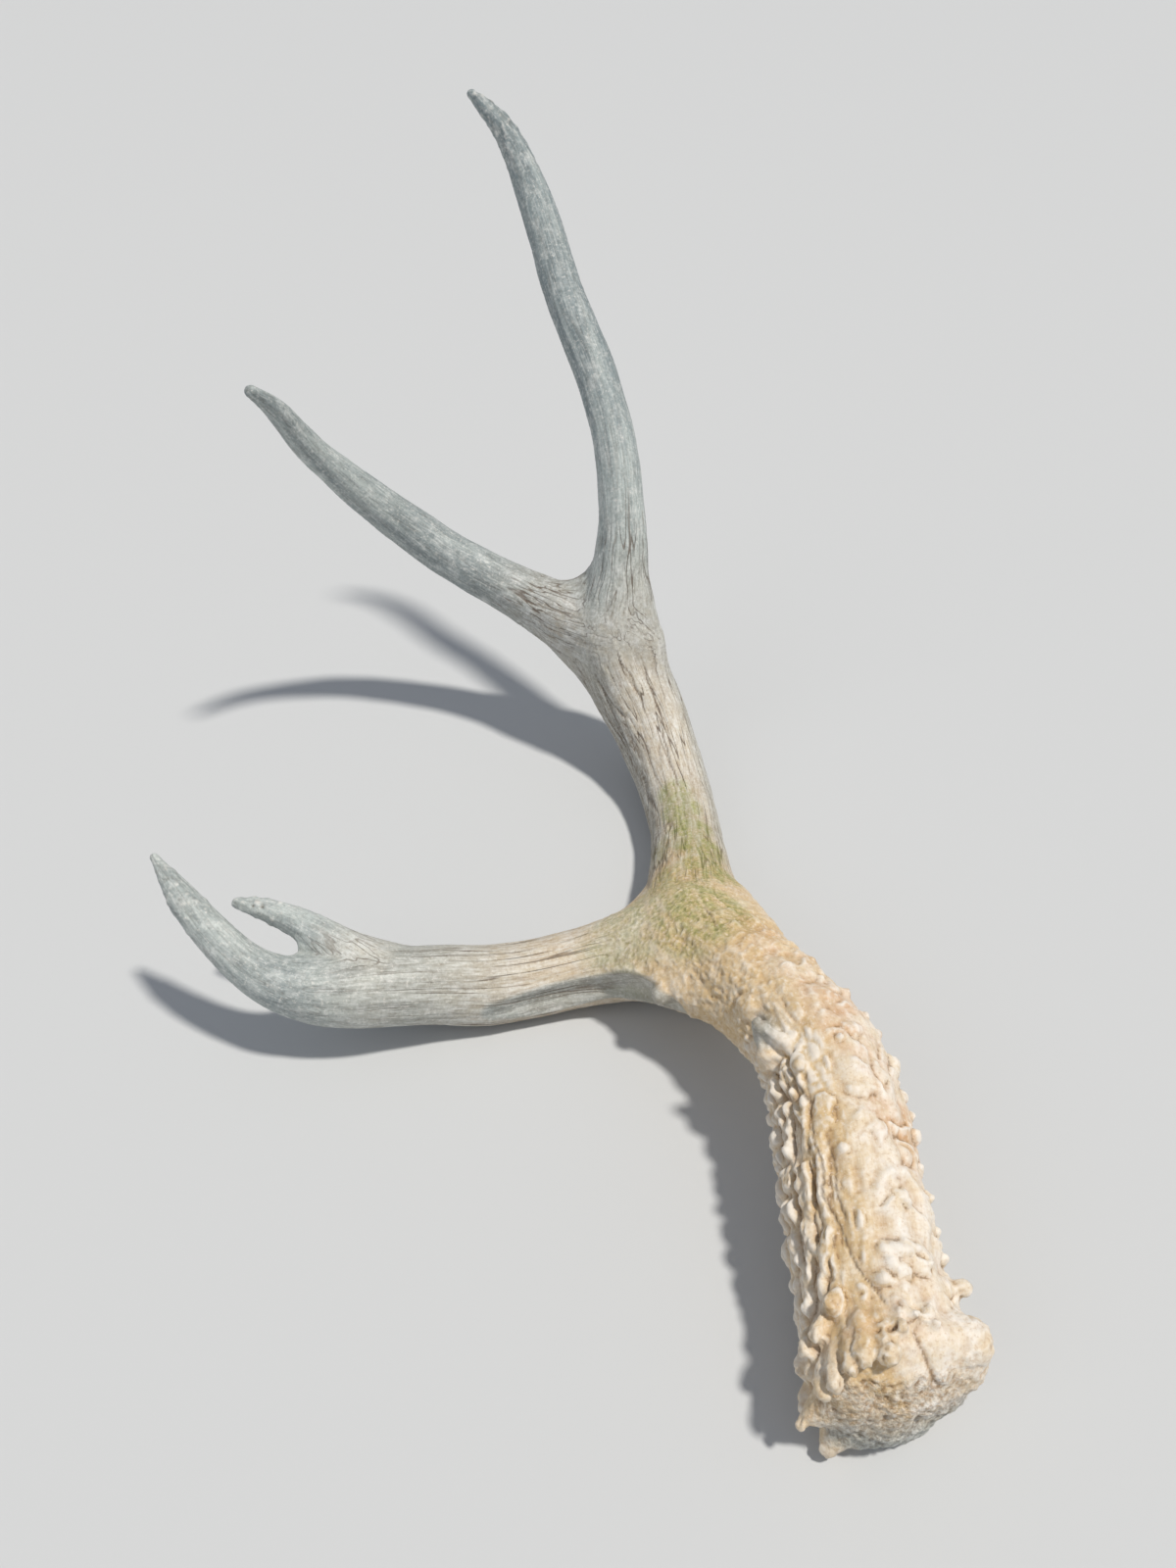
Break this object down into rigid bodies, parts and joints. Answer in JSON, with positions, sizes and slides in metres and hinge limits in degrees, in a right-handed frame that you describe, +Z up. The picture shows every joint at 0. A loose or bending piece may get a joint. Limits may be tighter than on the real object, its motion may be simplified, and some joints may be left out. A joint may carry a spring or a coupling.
{
  "type": "deer antler",
  "caption": "Shed deer antler with a pearled base, a rising forked rear branch and a low forked front branch, lying on the outer side of its beam.",
  "frame": {"origin": "on the ground, below the middle of the bounding box", "axes": "+Z up from the ground, +Y from the pearled base towards the rear fork, -X towards the tips of the front fork"},
  "size_m": [0.2598, 0.4414, 0.2684],
  "materials": {
    "pearled_bone": "matt weathered antler with brown in the grooves",
    "beam_bone": "matt weathered antler, streaked, green with algae near the main fork",
    "tine_bone": "matt grey weathered antler, mottled"
  },
  "bodies": {
    "root": {"base_beam": "pearled_bone", "rear_beam": "beam_bone", "rear_tall_tine": "tine_bone", "rear_low_tine": "tine_bone", "front_beam": "beam_bone", "front_long_tine": "tine_bone", "front_short_tine": "tine_bone"}
  },
  "joints": []
}
